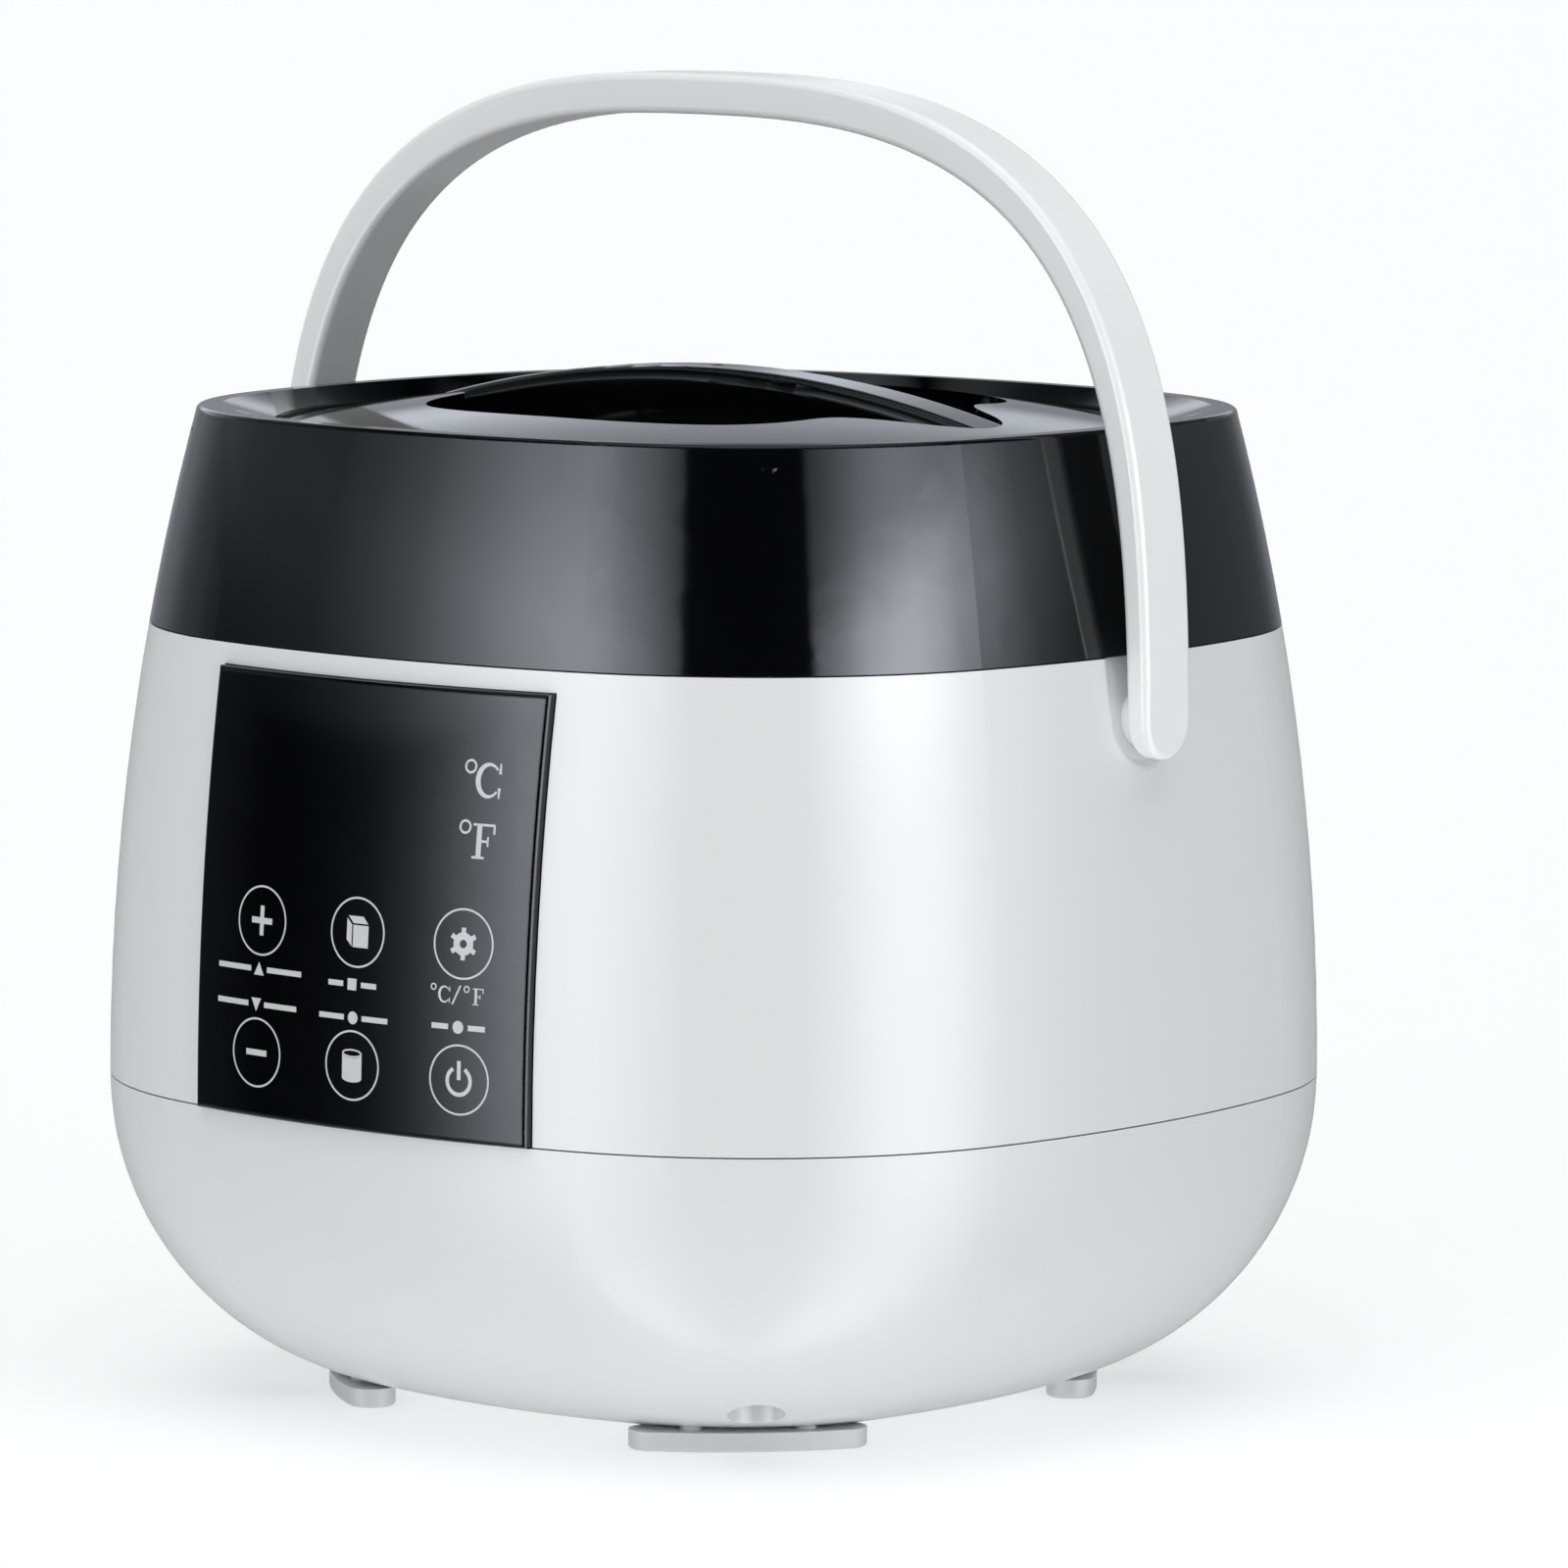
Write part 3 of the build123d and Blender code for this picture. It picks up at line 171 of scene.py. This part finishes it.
def make_studio():
    """World: softboxes with a dark gap for mirrored light, a smooth fill for the rest, white behind."""
    world = bpy.data.worlds.new("studio")
    world.use_nodes = True
    world.cycles.sampling_method = "NONE"
    tree = world.node_tree
    tree.nodes.clear()
    place = tree.nodes.new("ShaderNodeTexCoord")
    split = tree.nodes.new("ShaderNodeSeparateXYZ")
    tree.links.new(place.outputs["Generated"], split.inputs[0])
    back = math_node(tree, "MULTIPLY", split.outputs["Y"], -1.0)
    azimuth = math_node(tree, "DEGREES", math_node(tree, "ARCTAN2", split.outputs["X"], back))
    height = math_node(tree, "DEGREES", math_node(tree, "ARCSINE", split.outputs["Z"]))
    shade = curve_node(tree, LOW_SHADE, -180, 180, 1.0, azimuth)
    shade = math_node(tree, "MAXIMUM", shade, span(tree, height, *SHADE_HEIGHTS))
    box = math_node(tree, "MULTIPLY", curve_node(tree, STUDIO, -180, 180, STUDIO_TOP, azimuth), shade)
    right = math_node(tree, "GREATER_THAN", azimuth, GAP_MIDDLE)
    fall = tree.nodes.new("ShaderNodeMix")
    tree.links.new(right, fall.inputs["Factor"])
    tree.links.new(curve_node(tree, LEFT_HEIGHTS, -90, 90, 2.0, height), fall.inputs["A"])
    tree.links.new(curve_node(tree, RIGHT_HEIGHTS, -90, 90, 2.0, height), fall.inputs["B"])
    box = math_node(tree, "MULTIPLY", box, fall.outputs["Result"])
    studio = math_node(tree, "ADD", box, curve_node(tree, STUDIO_LEVELS, -90, 90, 2.0, height))
    fill = curve_node(tree, FILL, -180, 180, 1.2, azimuth)
    fill = math_node(tree, "MULTIPLY", fill, curve_node(tree, FILL_HEIGHTS, -90, 90, 1.0, height))
    fill = math_node(tree, "ADD", fill, curve_node(tree, FILL_OVERHEAD, -90, 90, 6.0, height))
    seen = tree.nodes.new("ShaderNodeLightPath")
    strength = tree.nodes.new("ShaderNodeMix")
    tree.links.new(seen.outputs["Is Glossy Ray"], strength.inputs["Factor"])
    tree.links.new(fill, strength.inputs["A"])
    tree.links.new(studio, strength.inputs["B"])
    tint = mixed(tree, seen.outputs["Is Glossy Ray"], FILL_TINT, STUDIO_TINT)
    shades = []
    for colour, value in ((tint, strength.outputs["Result"]), ((1, 1, 1, 1), 1.0)):
        shade = tree.nodes.new("ShaderNodeBackground")
        socket(tree, shade.inputs["Color"], colour)
        socket(tree, shade.inputs["Strength"], value)
        shades.append(shade.outputs[0])
    mix = tree.nodes.new("ShaderNodeMixShader")
    for number, source in enumerate((seen.outputs["Is Camera Ray"], *shades)):
        tree.links.new(source, mix.inputs[number])
    out = tree.nodes.new("ShaderNodeOutputWorld")
    tree.links.new(mix.outputs[0], out.inputs[0])
    scene.world = world


make_studio()


# ---- Materials ----------------------------------------------------------------------------

def noise(tree, vector, scale, detail=2.0, distort=0.0):
    """Noise value between 0 and 1 over a vector."""
    node = tree.nodes.new("ShaderNodeTexNoise")
    tree.links.new(vector, node.inputs["Vector"])
    node.inputs["Scale"].default_value = scale
    node.inputs["Detail"].default_value = detail
    node.inputs["Distortion"].default_value = distort
    return node.outputs["Fac"]


def stretched(tree, vector, scale):
    """Vector scaled along its axes."""
    node = tree.nodes.new("ShaderNodeVectorMath")
    node.operation = "MULTIPLY"
    tree.links.new(vector, node.inputs[0])
    node.inputs[1].default_value = scale
    return node.outputs[0]


def polar(tree, vector):
    """Distance from the Z axis, in metres."""
    split = tree.nodes.new("ShaderNodeSeparateXYZ")
    tree.links.new(vector, split.inputs[0])
    squares = [math_node(tree, "POWER", split.outputs[name], 2.0) for name in ("X", "Y")]
    return math_node(tree, "SQRT", math_node(tree, "ADD", *squares))


def edge_wear(tree, grain, radius):
    """Share of rubbed finish: high on convex edges, broken up by the grain."""
    bevel = tree.nodes.new("ShaderNodeBevel")
    bevel.samples = 4
    bevel.inputs["Radius"].default_value = radius
    shape = tree.nodes.new("ShaderNodeNewGeometry")
    dot = tree.nodes.new("ShaderNodeVectorMath")
    dot.operation = "DOT_PRODUCT"
    tree.links.new(bevel.outputs["Normal"], dot.inputs[0])
    tree.links.new(shape.outputs["Normal"], dot.inputs[1])
    return math_node(tree, "MULTIPLY", span(tree, dot.outputs["Value"], 0.985, 0.8), grain)


def pattern_value(tree, kind, vector, scale):
    """Value of a finish's own pattern."""
    if kind == "spun":
        rings = tree.nodes.new("ShaderNodeCombineXYZ")
        tree.links.new(polar(tree, vector), rings.inputs["X"])
        height = tree.nodes.new("ShaderNodeSeparateXYZ")
        tree.links.new(vector, height.inputs[0])
        tree.links.new(height.outputs["Z"], rings.inputs["Z"])
        return noise(tree, rings.outputs[0], scale, 4)
    if kind == "brushed":
        return noise(tree, stretched(tree, vector, (0.06, 1, 1)), scale, 3)
    if kind == "laminated":
        return noise(tree, stretched(tree, vector, (0.02, 1, 0.02)), scale, 1)
    if kind == "spangle":
        cells = tree.nodes.new("ShaderNodeTexVoronoi")
        tree.links.new(vector, cells.inputs["Vector"])
        cells.inputs["Scale"].default_value = scale
        grey = tree.nodes.new("ShaderNodeSeparateColor")
        tree.links.new(cells.outputs["Color"], grey.inputs[0])
        return grey.outputs[0]
    if kind == "tracks":
        bricks = tree.nodes.new("ShaderNodeTexBrick")
        tree.links.new(vector, bricks.inputs["Vector"])
        bricks.inputs["Scale"].default_value = scale
        bricks.inputs["Mortar Size"].default_value = 0.06
        return bricks.outputs["Fac"]
    return noise(tree, vector, scale, 5, 0.4)


def surface(name, colour, rough=0.3, metal=0.0, spec=0.5, grain=900.0, bump=0.05, mottle=0.03, drift=14.0,
            rough_spread=0.04, wear=0.3, wear_colour=None, wear_radius=0.0005, pattern=None,
            pattern_scale=300.0, pattern_mix=0.15, pattern_colour=None, pattern_bump=0.0):
    """Procedural finish: colour drift, roughness drift, fine grain, an own pattern and rubbed edges."""
    material = bpy.data.materials.new(name)
    material.use_nodes = True
    tree = material.node_tree
    shader = tree.nodes["Principled BSDF"]
    shader.inputs["Metallic"].default_value = metal
    shader.inputs["Specular IOR Level"].default_value = spec
    place = tree.nodes.new("ShaderNodeTexCoord").outputs["Object"]
    slow = noise(tree, place, drift, 3)
    fine = noise(tree, place, grain)
    tint = mixed(tree, slow, [c * (1 - mottle) for c in colour], [min(1.0, c * (1 + mottle)) for c in colour])
    level = fine
    if pattern:
        marks = pattern_value(tree, pattern, place, pattern_scale)
        share = math_node(tree, "MULTIPLY", marks, pattern_mix)
        tint = mixed(tree, share, tint, pattern_colour or [c * 0.4 for c in colour])
        level = math_node(tree, "MULTIPLY_ADD", marks, pattern_bump, fine)
    polish = span(tree, slow, 0.3, 0.7, max(0.02, rough - rough_spread), rough + rough_spread)
    if wear:
        rub = math_node(tree, "MULTIPLY", edge_wear(tree, fine, wear_radius), wear, clamp=True)
        tint = mixed(tree, rub, tint, wear_colour or [min(1.0, c * 1.4 + 0.03) for c in colour])
        polish = math_node(tree, "MULTIPLY_ADD", rub, 0.2, polish)
    tree.links.new(tint, shader.inputs["Base Color"])
    tree.links.new(polish, shader.inputs["Roughness"])
    relief = tree.nodes.new("ShaderNodeBump")
    relief.inputs["Strength"].default_value = bump
    relief.inputs["Distance"].default_value = 0.0001
    tree.links.new(level, relief.inputs["Height"])
    tree.links.new(relief.outputs["Normal"], shader.inputs["Normal"])
    return material


FINISHES = {
    "shell_white": dict(colour=(0.808, 0.81, 0.814), rough=0.2, bump=0.03, mottle=0.008, wear=0.5),
    "handle_white": dict(colour=(0.95, 0.952, 0.956), rough=0.2, bump=0.03, mottle=0.008, wear=0.5),
    "foot_grey": dict(colour=(0.66, 0.67, 0.68), rough=0.45, grain=1800, bump=0.25, wear=0.5),
    "ring_black": dict(colour=(0.0022, 0.0023, 0.0028), rough=0.075, rough_spread=0.02, bump=0.012,
                       mottle=0.1, wear=0.25, wear_colour=(0.02, 0.02, 0.022)),
    "panel_black": dict(colour=(0.0015, 0.0016, 0.002), rough=0.06, rough_spread=0.015, bump=0.008,
                        mottle=0.1, wear=0.2, wear_colour=(0.02, 0.02, 0.022)),
    "liner_grey": dict(colour=(0.62, 0.63, 0.64), rough=0.32, metal=1.0, pattern="spun", pattern_scale=900,
                       pattern_bump=1.5, bump=0.15),
    "silicone": dict(colour=(0.42, 0.43, 0.44), rough=0.55, spec=0.35, grain=2400, bump=0.3, mottle=0.06),
    "screw_steel": dict(colour=(0.58, 0.585, 0.6), rough=0.28, metal=1.0, pattern="brushed",
                        pattern_scale=2500, pattern_bump=1.0, bump=0.2),
    "pot_aluminium": dict(colour=(0.74, 0.745, 0.755), rough=0.27, metal=1.0, pattern="spun",
                          pattern_scale=1200, pattern_bump=2.0, bump=0.2, wear_colour=(0.9, 0.9, 0.9)),
    "shield_steel": dict(colour=(0.6, 0.61, 0.63), rough=0.36, metal=1.0, pattern="spangle",
                         pattern_scale=180, pattern_mix=0.35, pattern_colour=(0.45, 0.46, 0.49)),
    "cast_plate": dict(colour=(0.46, 0.46, 0.47), rough=0.5, metal=1.0, pattern="cast", pattern_scale=700,
                       pattern_mix=0.5, pattern_bump=3.0, bump=0.6),
    "element_steel": dict(colour=(0.3, 0.29, 0.28), rough=0.38, metal=1.0, pattern="cast", pattern_scale=60,
                          pattern_mix=0.8, pattern_colour=(0.34, 0.23, 0.13)),
    "board_green": dict(colour=(0.016, 0.11, 0.04), rough=0.34, pattern="tracks", pattern_scale=160,
                        pattern_mix=0.6, pattern_colour=(0.04, 0.2, 0.07), pattern_bump=1.0),
    "component_black": dict(colour=(0.02, 0.02, 0.022), rough=0.5, grain=2000, bump=0.3),
    "capacitor_yellow": dict(colour=(0.62, 0.42, 0.06), rough=0.36, mottle=0.06),
    "core_steel": dict(colour=(0.2, 0.2, 0.21), rough=0.5, metal=1.0, pattern="laminated",
                       pattern_scale=1500, pattern_mix=0.7, pattern_bump=3.0, bump=0.5),
    "inlet_black": dict(colour=(0.017, 0.017, 0.018), rough=0.42, grain=1600, bump=0.25, mottle=0.1),
    "pin_brass": dict(colour=(0.7, 0.6, 0.36), rough=0.25, metal=1.0, pattern="brushed",
                      pattern_scale=2500),
    "wire_white": dict(colour=(0.72, 0.72, 0.7), rough=0.45, grain=1500, bump=0.15),
}
MATERIALS = {name: surface(name, **values) for name, values in FINISHES.items()}

for entry in frame["record"]["subparts"]:
    mesh = nodes[entry["node"]].data
    mesh.materials.clear()
    mesh.materials.append(MATERIALS[entry["material_slot"]])


# ---- Panel symbols ------------------------------------------------------------------------

# The casing's seam, half-width there and curves, as in the CAD model
SEAM_Z = 0.060
HALF_WIDTH = 0.105
PROFILE_RADIUS = 0.520
DEPTH_RATIO = 0.978
SIDE_RADIUS_RATIO = 2.05
PANEL_PROUD = 0.0018
PRINT_LIFT = 0.00003
STEP = 0.0008
MM = 0.001


def on_panel(x, z):
    """Point just above the panel's face, from millimetres beside its middle and above the seam."""
    x, z = x * MM, z * MM
    half = HALF_WIDTH - PROFILE_RADIUS + math.sqrt(PROFILE_RADIUS ** 2 - z ** 2) + PANEL_PROUD
    radius = half * SIDE_RADIUS_RATIO
    front = half * DEPTH_RATIO - radius + math.sqrt(radius ** 2 - x ** 2)
    return x, -front - PRINT_LIFT, z + SEAM_Z


class Print:
    """Flat printed marks that follow the panel."""

    def __init__(self):
        self.points = []
        self.faces = []

    def stroke(self, path, width, closed=False):
        """Line of a width along a path in millimetres; the width may be a list, one for each point."""
        path = list(path)
        widths = list(width) if isinstance(width, (list, tuple)) else [width] * len(path)
        places, sizes = [], []
        ends = list(range(1, len(path) + (1 if closed else 0)))
        for end in ends:
            (x0, z0), (x1, z1) = path[end - 1], path[end % len(path)]
            w0, w1 = widths[end - 1], widths[end % len(path)]
            count = max(1, math.ceil(math.hypot(x1 - x0, z1 - z0) * MM / STEP))
            for number in range(count):
                share = number / count
                places.append((x0 + (x1 - x0) * share, z0 + (z1 - z0) * share))
                sizes.append(w0 + (w1 - w0) * share)
        if not closed:
            places.append(path[-1])
            sizes.append(widths[-1])
        start = len(self.points)
        total = len(places)
        for number, (x, z) in enumerate(places):
            before = places[number - 1] if closed or number else places[0]
            after = places[(number + 1) % total] if closed or number < total - 1 else places[-1]
            dx, dz = after[0] - before[0], after[1] - before[1]
            size = sizes[number] / 2 / math.hypot(dx, dz)
            self.points.append(on_panel(x - dz * size, z + dx * size))
            self.points.append(on_panel(x + dz * size, z - dx * size))
        for number in range(total if closed else total - 1):
            one, two = start + 2 * number, start + 2 * ((number + 1) % total)
            self.faces.append((one, one + 1, two + 1, two))

    def area(self, corners):
        """Filled outline in millimetres, counter-clockwise."""
        start = len(self.points)
        self.points.extend(on_panel(x, z) for x, z in corners)
        self.faces.append(tuple(range(start, len(self.points))))

    def bar(self, x0, x1, z, height):
        """Level bar."""
        self.stroke(((x0, z), (x1, z)), height)

    def ring(self, x, z, radius, width):
        """Round line."""
        self.stroke(arc(x, z, radius, radius, 0, 360)[:-1], width, closed=True)


def arc(x, z, width, height, start, end, count=40):
    """Points along part of an ellipse, angles in degrees from +X."""
    points = []
    for number in range(count + 1):
        turn = math.radians(start + (end - start) * number / count)
        points.append((x + width * math.cos(turn), z + height * math.sin(turn)))
    return points


def letter_c(marks, x, z, size):
    """Roman C with a heavy left side and two serifs."""
    path = arc(x, z, 0.37 * size, 0.46 * size, 42, 318, 36)
    weights = [size * (0.07 + 0.1 * math.sin(math.pi * number / 36) ** 2) for number in range(37)]
    marks.stroke(path, weights)
    for side in (1, -1):
        marks.stroke(((x + 0.36 * size, z + side * 0.5 * size), (x + 0.36 * size, z + side * 0.2 * size)),
                     (0.05 * size, 0.1 * size))


def letter_f(marks, x, z, size):
    """Roman F with slab serifs."""
    stem = x - 0.14 * size
    marks.stroke(((stem, z - 0.5 * size), (stem, z + 0.5 * size)), 0.17 * size)
    marks.bar(x - 0.36 * size, x + 0.06 * size, z - 0.47 * size, 0.07 * size)
    marks.bar(x - 0.36 * size, x + 0.38 * size, z + 0.47 * size, 0.07 * size)
    marks.bar(stem, x + 0.16 * size, z, 0.07 * size)
    marks.stroke(((x + 0.36 * size, z + 0.5 * size), (x + 0.36 * size, z + 0.22 * size)), 0.07 * size)
    marks.stroke(((x + 0.16 * size, z + 0.14 * size), (x + 0.16 * size, z - 0.14 * size)), 0.06 * size)


def gear(marks, x, z):
    """Six-toothed gear with a round hole."""
    teeth, tooth, root, hole = 6, 2.95, 2.1, 0.75
    rim = []
    for number in range(teeth):
        middle = 360 * (number + 0.5) / teeth
        for turn, radius in ((-24, root), (-13, root), (-9, tooth), (9, tooth), (13, root), (24, root)):
            angle = math.radians(middle + turn)
            rim.append((x + radius * math.cos(angle), z + radius * math.sin(angle)))
    start = len(marks.points)
    for px, pz in rim:
        angle = math.atan2(pz - z, px - x)
        marks.points.append(on_panel(px, pz))
        marks.points.append(on_panel(x + hole * math.cos(angle), z + hole * math.sin(angle)))
    count = len(rim)
    for number in range(count):
        one, two = start + 2 * number, start + 2 * ((number + 1) % count)
        marks.faces.append((one, two, two + 1, one + 1))


def word_mark(marks, x, z, width, shape):
    """Generic stand-in for a key's name: two bars with a small shape between them."""
    thick, gap = 1.0, 2.1
    marks.bar(x - width / 2, x - gap, z, thick)
    marks.bar(x + gap, x + width / 2, z, thick)
    if shape == "up":
        marks.area(((x - 1.3, z - 1.1), (x + 1.3, z - 1.1), (x, z + 1.3)))
    elif shape == "down":
        marks.area(((x - 1.3, z + 1.1), (x, z - 1.3), (x + 1.3, z + 1.1)))
    elif shape == "square":
        marks.area(((x - 1.05, z - 1.05), (x + 1.05, z - 1.05), (x + 1.05, z + 1.05), (x - 1.05, z + 1.05)))
    else:
        marks.area(arc(x, z, 1.15, 1.15, 0, 360)[:-1])


# Middles of the keys, in millimetres beside the panel's middle and above the seam
KEYS = {
    "plus": (-22.0, 36.0), "block": (2.0, 36.0), "gear": (25.8, 35.8),
    "minus": (-22.5, 12.0), "can": (1.6, 12.0), "power": (25.7, 11.5),
}
KEY_RADIUS = 6.2
KEY_LINE = 0.36
SIGN_REACH = 2.7
SIGN_THICK = 1.1
WORDS = (
    (-22.3, 27.2, 22.0, "up"), (-22.8, 20.8, 21.0, "down"), (1.2, 26.6, 11.4, "square"),
    (1.6, 20.6, 16.2, "dot"), (25.3, 20.9, 11.4, "dot"),
)
BIG_LETTER = 6.2
SMALL_LETTER = 3.0


def plus_and_minus(marks):
    """Signs of the two setting keys."""
    for x, z in (KEYS["plus"], KEYS["minus"]):
        marks.bar(x - SIGN_REACH, x + SIGN_REACH, z, SIGN_THICK)
    x, z = KEYS["plus"]
    for side in (1, -1):
        marks.stroke(((x, z + side * SIGN_THICK / 2), (x, z + side * SIGN_REACH)), 1.0)


def block(marks, x, z):
    """Block of wax seen from a corner."""
    marks.area(((x - 1.0, z - 2.7), (x + 2.6, z - 2.7), (x + 2.6, z + 1.3), (x - 1.0, z + 1.3)))
    marks.area(((x - 2.5, z - 1.4), (x - 1.3, z - 2.6), (x - 1.3, z + 1.3), (x - 2.5, z + 2.5)))
    marks.area(((x - 1.0, z + 1.6), (x + 2.5, z + 1.6), (x + 1.3, z + 2.9), (x - 2.2, z + 2.9)))


def can(marks, x, z):
    """Open can seen from a little above."""
    marks.area(arc(x, z - 2.3, 2.3, 0.75, 180, 360, 16) + arc(x, z + 2.1, 2.3, 0.75, 0, -180, 16))
    marks.stroke(arc(x, z + 2.2, 2.15, 0.62, 0, 360)[:-1], 0.3, closed=True)


def power(marks, x, z):
    """Broken ring with a bar."""
    marks.stroke(arc(x, z - 0.2, 2.45, 2.45, 120, 420, 48), 0.75)
    marks.bar(x - 0.4, x + 0.4, z + 1.7, 3.4)


def units(marks):
    """Temperature units: two large ones, and a small pair with a slash under the gear."""
    letter_c(marks, 29.0, 65.0, BIG_LETTER)
    letter_f(marks, 28.7, 54.2, BIG_LETTER)
    marks.ring(25.0, 67.3, 1.08, 0.42)
    marks.ring(24.8, 56.6, 1.08, 0.42)
    letter_c(marks, 22.2, 26.6, SMALL_LETTER)
    letter_f(marks, 29.3, 26.6, SMALL_LETTER)
    marks.ring(19.8, 27.8, 0.52, 0.26)
    marks.ring(26.9, 27.8, 0.52, 0.26)
    marks.stroke(((23.9, 24.9), (25.6, 28.4)), 0.34)


def make_panel_marks():
    """Printed symbols: six ringed keys, their marks and the temperature units."""
    marks = Print()
    for x, z in KEYS.values():
        marks.ring(x, z, KEY_RADIUS, KEY_LINE)
    plus_and_minus(marks)
    block(marks, *KEYS["block"])
    can(marks, *KEYS["can"])
    gear(marks, *KEYS["gear"])
    power(marks, *KEYS["power"])
    for word in WORDS:
        word_mark(marks, *word)
    units(marks)
    mesh = bpy.data.meshes.new("panel_marks")
    mesh.from_pydata(marks.points, [], marks.faces)
    mesh.validate()
    piece = bpy.data.objects.new("panel_marks", mesh)
    scene.collection.objects.link(piece)
    mesh.materials.append(surface("print_grey", (0.62, 0.63, 0.65), rough=0.4, grain=2500, bump=0.1,
                                  mottle=0.05, wear=0.0))
    return piece


panel_marks = make_panel_marks()
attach(panel_marks, "housing")


# ---- Floor --------------------------------------------------------------------------------

def make_floor():
    """Plain pale floor: a large disc that glows a little."""
    count = 96
    reach = 14
    turns = [2 * math.pi * number / count for number in range(count)]
    rim = [(reach * math.cos(turn), reach * math.sin(turn), 0) for turn in turns]
    mesh = bpy.data.meshes.new("floor")
    mesh.from_pydata(rim, [], [tuple(range(count))])
    floor = bpy.data.objects.new("floor", mesh)
    floor.visible_glossy = False
    scene.collection.objects.link(floor)
    paper = surface("floor_paper", (0.58, 0.58, 0.582), rough=0.7, spec=0.2, bump=0.02, mottle=0.002,
                    wear=0.0)
    glow = paper.node_tree.nodes["Principled BSDF"].inputs
    glow["Emission Color"].default_value = (1, 1, 1, 1)
    glow["Emission Strength"].default_value = 0.48
    mesh.materials.append(paper)


make_floor()
